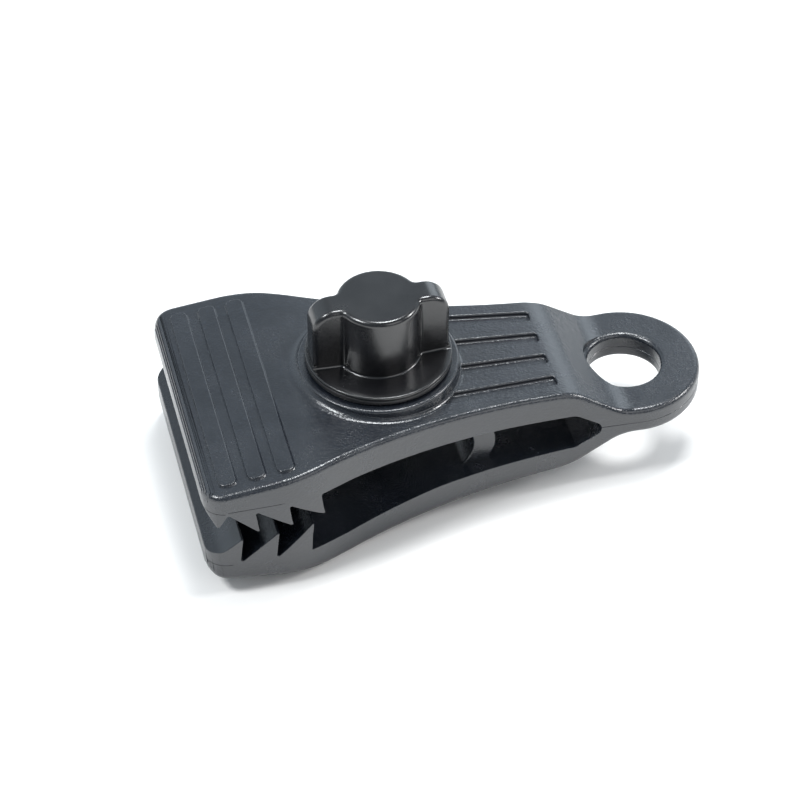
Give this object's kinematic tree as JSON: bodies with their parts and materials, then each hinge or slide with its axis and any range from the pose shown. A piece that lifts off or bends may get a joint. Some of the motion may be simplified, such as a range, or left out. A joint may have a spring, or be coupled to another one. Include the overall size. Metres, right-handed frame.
{
  "type": "tarp clip",
  "caption": "Moulded screw clip with toothed jaws, a winged thumb knob that closes them on a sheet's edge, and an eye for a rope or cord.",
  "frame": {"origin": "centre of the hole through the eye, on the mid plane of the moulding", "axes": "+Z along the hole through the eye, towards the knob's side; +X from the jaws towards the eye's far end; +Y across the jaws"},
  "size_m": [0.0829, 0.0436, 0.0354],
  "materials": {
    "moulding": "black glass-filled nylon with a fine moulded grain and a satin sheen",
    "knob": "smoother black nylon with a satin sheen",
    "washer": "black nylon, dull",
    "fastener_steel": "zinc plated steel"
  },
  "bodies": {
    "frame": {"clip_frame": "moulding", "captive_nut": "fastener_steel"},
    "jaw": {"upper_jaw": "moulding"},
    "washer": {"thrust_washer": "washer"},
    "knob": {"thumb_knob": "knob", "threaded_stud": "fastener_steel"}
  },
  "joints": [
    {"name": "screw_feed", "type": "slide", "parent": "frame", "child": "washer", "axis": [0, 0, 1], "range_m": [-0.00025, 0.003]},
    {"name": "knob_turn", "type": "hinge", "parent": "washer", "child": "knob", "pos_m": [-0.0396, 0, 0.0125], "axis": [0, 0, 1], "range_deg": [-90.4, 1080.4]},
    {"name": "jaw_flex", "type": "hinge", "parent": "frame", "child": "jaw", "pos_m": [-0.0258, 0, 0.0063], "axis": [0, 1, 0], "range_deg": [-0.58, 6.88]}
  ],
  "couplings": [
    {"joint": "knob_turn", "follows": "screw_feed", "rad_per_m": 6283.2},
    {"joint": "jaw_flex", "follows": "screw_feed", "rad_per_m": 40}
  ]
}
